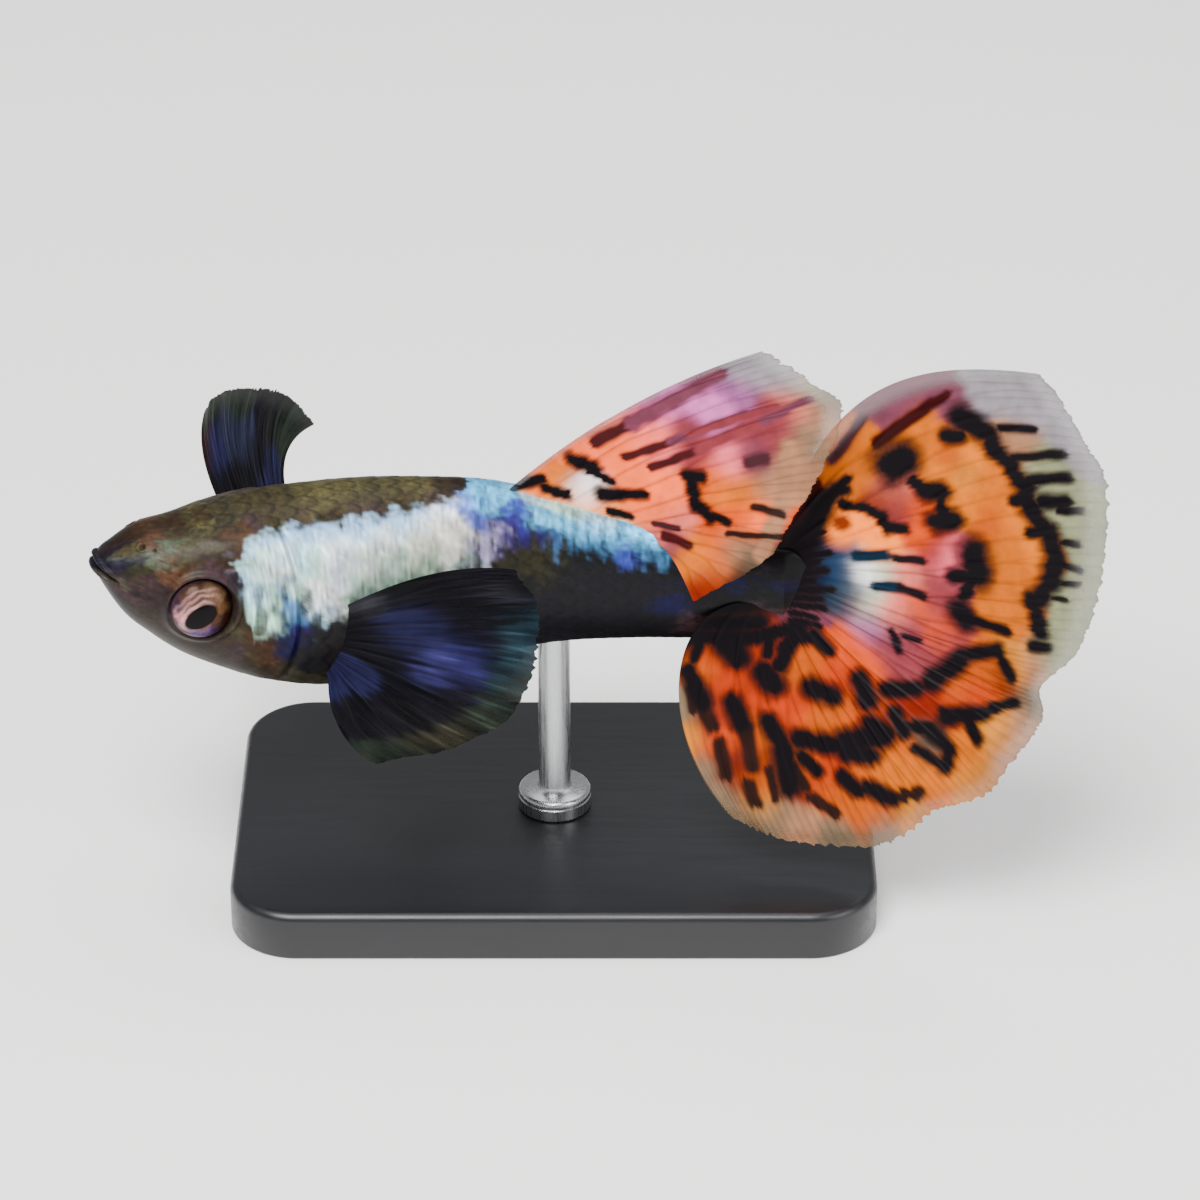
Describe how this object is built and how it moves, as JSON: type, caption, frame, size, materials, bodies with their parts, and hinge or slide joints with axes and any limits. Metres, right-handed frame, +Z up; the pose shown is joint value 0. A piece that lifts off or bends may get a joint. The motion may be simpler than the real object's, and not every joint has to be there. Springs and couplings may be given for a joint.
{
  "type": "fancy guppy model on a display stand",
  "caption": "Male fancy guppy, life size, swimming in a gentle bend with spread mosaic tail, dorsal and large pectoral fins, held by a rod on a flat base.",
  "frame": {"origin": "centre of the underside of the stand's base, on the surface that it rests on, straight below the rod", "axes": "+X from the head towards the tail, -Y towards the fish's left side, +Z up"},
  "size_m": [0.0427, 0.0191, 0.0265],
  "materials": {
    "skin": "satin, painted, with a pearl flank",
    "eye": "clear gloss over a silver iris and a black pupil",
    "mosaic_fin": "satin, orange with black mosaic and a pale margin",
    "dark_fin": "satin, blue-black with pale rays",
    "plain_fin": "satin, grey",
    "stand_base": "satin black",
    "stand_rod": "fine brushed"
  },
  "bodies": {
    "root": {"head": "skin", "torso": "skin", "caudal_peduncle": "skin", "eye_left": "eye", "eye_right": "eye", "dorsal_fin": "mosaic_fin", "caudal_fin": "mosaic_fin", "pectoral_fin_left": "dark_fin", "pectoral_fin_right": "dark_fin", "pelvic_fin_left": "plain_fin", "pelvic_fin_right": "plain_fin", "anal_fin": "plain_fin", "stand_base": "stand_base", "stand_rod": "stand_rod"}
  },
  "joints": []
}
